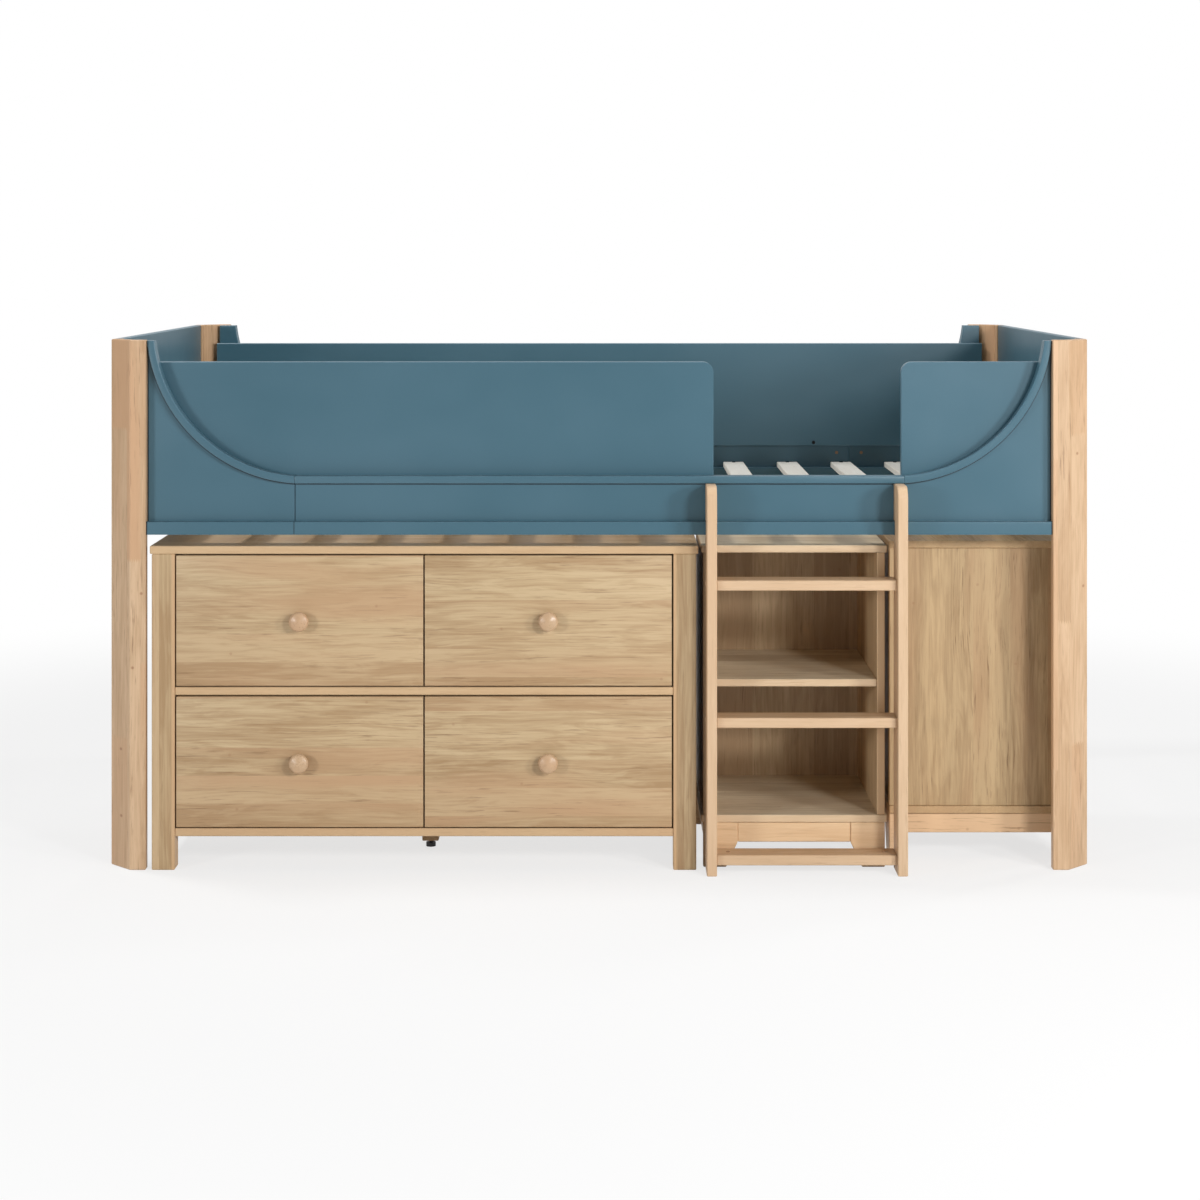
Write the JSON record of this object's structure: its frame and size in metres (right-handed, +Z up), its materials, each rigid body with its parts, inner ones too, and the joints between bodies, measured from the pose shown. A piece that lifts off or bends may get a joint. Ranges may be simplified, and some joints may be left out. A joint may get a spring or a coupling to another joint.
{
  "type": "low loft bed",
  "caption": "Low wooden loft bed with sweeping blue guard rails, a short ladder, a chest of sliding drawers and open bookcases under a slatted base.",
  "frame": {"origin": "on the floor, at the middle of the whole outline", "axes": "+X along the bed to the right, +Y to the rear, +Z up; the ladder and drawers face -Y"},
  "size_m": [1.97, 1.14, 1.06],
  "materials": {
    "post_wood": "clear satin lacquer on knotty solid wood",
    "blue_paint": "satin blue-grey paint on wooden board",
    "ladder_wood": "clear satin lacquer on pale solid wood",
    "slat_wood": "planed, unfinished pale wood",
    "chest_wood": "clear satin lacquer on solid wood boards",
    "drawer_wood": "clear satin lacquer on edge-glued boards with level grain",
    "box_wood": "planed, unfinished pale wood",
    "case_wood": "clear satin lacquer on solid wood boards",
    "black_plastic": "moulded, fine matte grain"
  },
  "bodies": {
    "bed": {"bookcase_back": "case_wood", "bookcase_base": "case_wood", "bookcase_floor": "case_wood", "bookcase_shelf": "case_wood", "bookcase_sides": "case_wood", "bookcase_top": "case_wood", "chest_back": "box_wood", "chest_dividers": "chest_wood", "chest_floor": "chest_wood", "chest_foot_block": "chest_wood", "chest_legs": "chest_wood", "chest_mid_shelf": "chest_wood", "chest_runners": "box_wood", "chest_sides": "chest_wood", "chest_top": "chest_wood", "end_bookcase_back": "case_wood", "end_bookcase_base": "case_wood", "end_bookcase_floor": "case_wood", "end_bookcase_shelf": "case_wood", "end_bookcase_sides": "case_wood", "end_bookcase_top": "case_wood", "end_panel_left": "blue_paint", "end_panel_right": "blue_paint", "front_caps": "blue_paint", "front_rail_centre": "blue_paint", "front_rail_left_end": "blue_paint", "front_rail_right_end": "blue_paint", "front_skirts": "blue_paint", "guard_front_left": "blue_paint", "guard_front_right": "blue_paint", "guard_rear": "blue_paint", "ladder_rungs": "ladder_wood", "ladder_stile_left": "ladder_wood", "ladder_stile_right": "ladder_wood", "post_front_left": "post_wood", "post_front_right": "post_wood", "post_rear_left": "post_wood", "post_rear_right": "post_wood", "rear_caps": "blue_paint", "rear_rail_boards": "blue_paint", "rear_skirts": "blue_paint", "slat_ledgers": "blue_paint", "slats": "slat_wood"},
    "drawer_lower_left": {"drawer_lower_left_front": "drawer_wood", "drawer_lower_left_box": "box_wood"},
    "drawer_lower_right": {"drawer_lower_right_front": "drawer_wood", "drawer_lower_right_box": "box_wood"},
    "drawer_upper_left": {"drawer_upper_left_front": "drawer_wood", "drawer_upper_left_box": "box_wood"},
    "drawer_upper_right": {"drawer_upper_right_front": "drawer_wood", "drawer_upper_right_box": "box_wood"},
    "leveller": {"chest_leveller": "black_plastic"}
  },
  "joints": [
    {"name": "drawer_lower_left_slide", "type": "slide", "parent": "bed", "child": "drawer_lower_left", "axis": [0, -1, 0], "range_m": [0, 0.28]},
    {"name": "drawer_lower_right_slide", "type": "slide", "parent": "bed", "child": "drawer_lower_right", "axis": [0, -1, 0], "range_m": [0, 0.28]},
    {"name": "drawer_upper_left_slide", "type": "slide", "parent": "bed", "child": "drawer_upper_left", "axis": [0, -1, 0], "range_m": [0, 0.28]},
    {"name": "drawer_upper_right_slide", "type": "slide", "parent": "bed", "child": "drawer_upper_right", "axis": [0, -1, 0], "range_m": [0, 0.28]},
    {"name": "leveller_screw", "type": "slide", "parent": "bed", "child": "leveller", "axis": [0, 0, 1], "range_m": [0, 0.006]}
  ]
}
